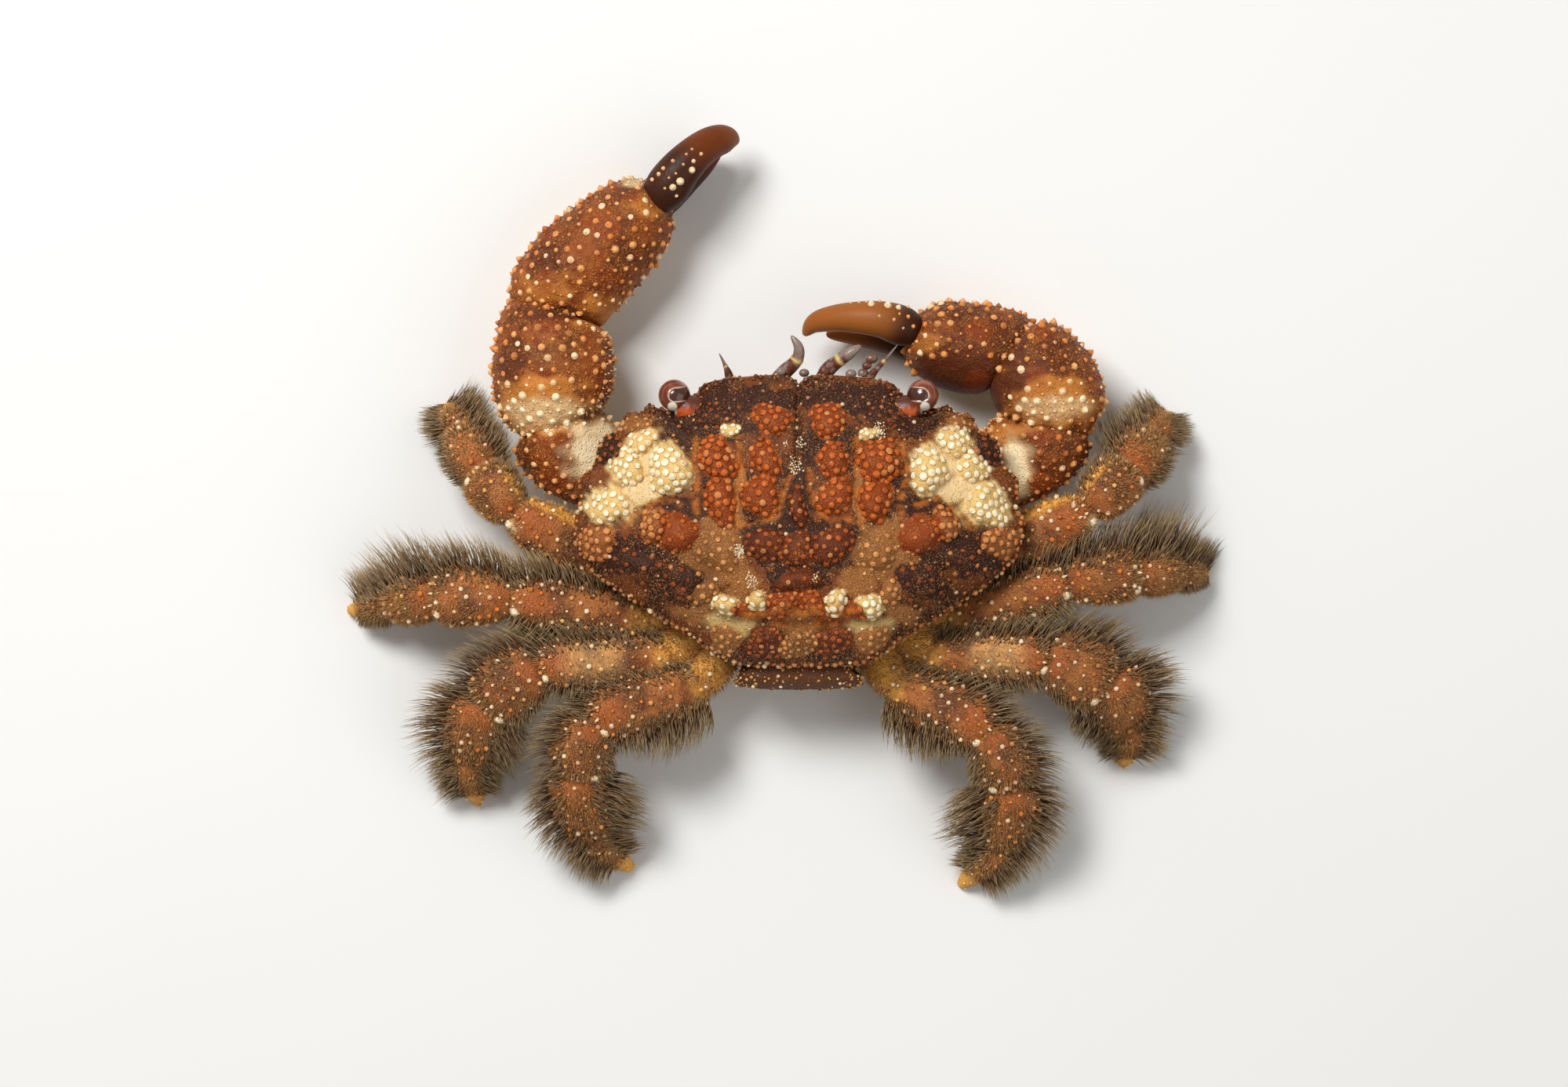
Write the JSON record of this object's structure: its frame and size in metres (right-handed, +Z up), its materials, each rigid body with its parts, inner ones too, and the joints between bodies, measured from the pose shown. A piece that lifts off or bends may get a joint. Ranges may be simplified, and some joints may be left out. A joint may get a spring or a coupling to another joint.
{
  "type": "reef crab display model",
  "caption": "Life-size still model of a small granular reef crab with raised claws and hair-fringed walking legs, standing on its leg tips.",
  "frame": {"origin": "on the floor under the middle of the crab's whole reach, claws and legs included", "axes": "+Z up from the floor, -Y the way the crab faces, +X towards the crab's own left and along its widest reach"},
  "size_m": [0.0471, 0.0415, 0.0115],
  "materials": {
    "shell": "granular shell, dark brown and red-brown with cream patches, faint sheen",
    "claw": "granular shell, orange-brown, faint sheen",
    "finger": "smooth polished brown shell",
    "leg": "granular brown shell with grey-olive hair fringes",
    "underside": "smooth cream to tan shell",
    "cornea": "glassy red-brown",
    "eyestalk": "orange, smooth",
    "feeler": "brown and yellow banded shell"
  },
  "bodies": {
    "root": {"antenna_left": "feeler", "antenna_right": "feeler", "antennule_left": "feeler", "antennule_right": "feeler", "carapace": "shell", "claw_left_carpus": "claw", "claw_left_dactyl": "finger", "claw_left_merus": "claw", "claw_left_palm": "claw", "claw_right_carpus": "claw", "claw_right_dactyl": "finger", "claw_right_merus": "claw", "claw_right_palm": "claw", "eye_left": "cornea", "eye_right": "cornea", "eyestalk_left": "eyestalk", "eyestalk_right": "eyestalk", "leg1_left_carpus": "leg", "leg1_left_dactyl": "leg", "leg1_left_merus": "leg", "leg1_left_propodus": "leg", "leg1_right_carpus": "leg", "leg1_right_dactyl": "leg", "leg1_right_merus": "leg", "leg1_right_propodus": "leg", "leg2_left_carpus": "leg", "leg2_left_dactyl": "leg", "leg2_left_merus": "leg", "leg2_left_propodus": "leg", "leg2_right_carpus": "leg", "leg2_right_dactyl": "leg", "leg2_right_merus": "leg", "leg2_right_propodus": "leg", "leg3_left_carpus": "leg", "leg3_left_dactyl": "leg", "leg3_left_merus": "leg", "leg3_left_propodus": "leg", "leg3_right_carpus": "leg", "leg3_right_dactyl": "leg", "leg3_right_merus": "leg", "leg3_right_propodus": "leg", "leg4_left_carpus": "leg", "leg4_left_dactyl": "leg", "leg4_left_merus": "leg", "leg4_left_propodus": "leg", "leg4_right_carpus": "leg", "leg4_right_dactyl": "leg", "leg4_right_merus": "leg", "leg4_right_propodus": "leg", "mouth_plate_left": "underside", "mouth_plate_right": "underside", "pleon": "underside", "underbody": "underside"}
  },
  "joints": []
}
